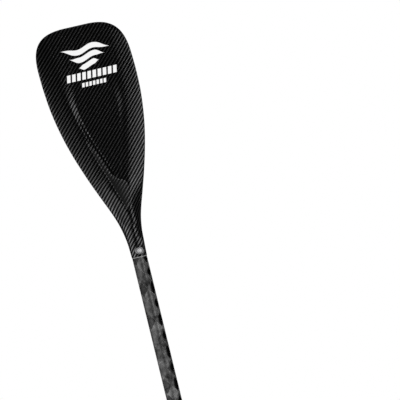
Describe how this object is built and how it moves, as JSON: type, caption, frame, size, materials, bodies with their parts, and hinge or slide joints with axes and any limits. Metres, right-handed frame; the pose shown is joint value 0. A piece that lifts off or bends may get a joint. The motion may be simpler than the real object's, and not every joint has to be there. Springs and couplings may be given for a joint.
{
  "type": "single blade paddle",
  "caption": "Stand-up paddle: one raked, scooped blade on a take-apart neck, a round shaft, a lever clamp, a sliding extension and a crossbar handle.",
  "frame": {"origin": "on the shaft's axis, midway along the bare lower shaft, where a rack or a hand holds it", "axes": "+Z along the shaft towards the blade's tip, -Y the way the power face looks, +X across the blade to the right of someone facing the power face"},
  "size_m": [0.182, 0.103, 1.6263],
  "materials": {
    "carbon_twill": "gloss",
    "carbon_wound": "satin",
    "carbon_plain": "satin",
    "foam": "matte",
    "pale_ring": "satin",
    "bright_rim": "satin",
    "polished_steel": "polished",
    "spring_steel": "satin",
    "black_nylon": "matte",
    "grey_nylon": "matte",
    "soft_grip": "matte"
  },
  "bodies": {
    "shaft": {"lower_shaft": "carbon_wound", "ferrule": "carbon_plain", "ferrule_plug": "grey_nylon", "snap_spring": "spring_steel", "clamp_collar": "black_nylon", "clamp_bush": "grey_nylon", "clamp_pad": "grey_nylon", "clamp_barrel": "spring_steel", "clamp_bolt": "spring_steel", "clamp_washer": "spring_steel"},
    "blade": {"blade_face_skin": "carbon_twill", "blade_back_skin": "carbon_twill", "blade_core": "foam", "neck_socket": "carbon_plain", "socket_plug": "grey_nylon", "neck_end_ring": "pale_ring", "button_eyelet": "bright_rim"},
    "button": {"snap_button": "polished_steel"},
    "lever": {"clamp_lever": "black_nylon"},
    "handle": {"extension_shaft": "carbon_plain", "extension_end_bush": "grey_nylon", "extension_bung": "foam", "handle_front_shell": "black_nylon", "handle_back_shell": "black_nylon", "handle_core": "foam", "handle_plug": "grey_nylon", "handle_mouth_ring": "black_nylon", "handle_palm_pad": "soft_grip"}
  },
  "joints": [
    {"name": "blade_release", "type": "slide", "parent": "shaft", "child": "blade", "axis": [0, 0, 1], "range_m": [0, 0.13]},
    {"name": "button_press", "type": "slide", "parent": "shaft", "child": "button", "axis": [0, 1, 0], "range_m": [0, 0.0038], "stiffness_N_per_m": 3000, "springref_m": -0.0012, "deforming": ["snap_spring"]},
    {"name": "lever_swing", "type": "hinge", "parent": "shaft", "child": "lever", "pos_m": [0.0235, -0.0184, -0.415], "axis": [0, 0, 1], "range_deg": [0, 150]},
    {"name": "height_adjust", "type": "slide", "parent": "shaft", "child": "handle", "axis": [0, 0, -1], "range_m": [0, 0.45]}
  ]
}
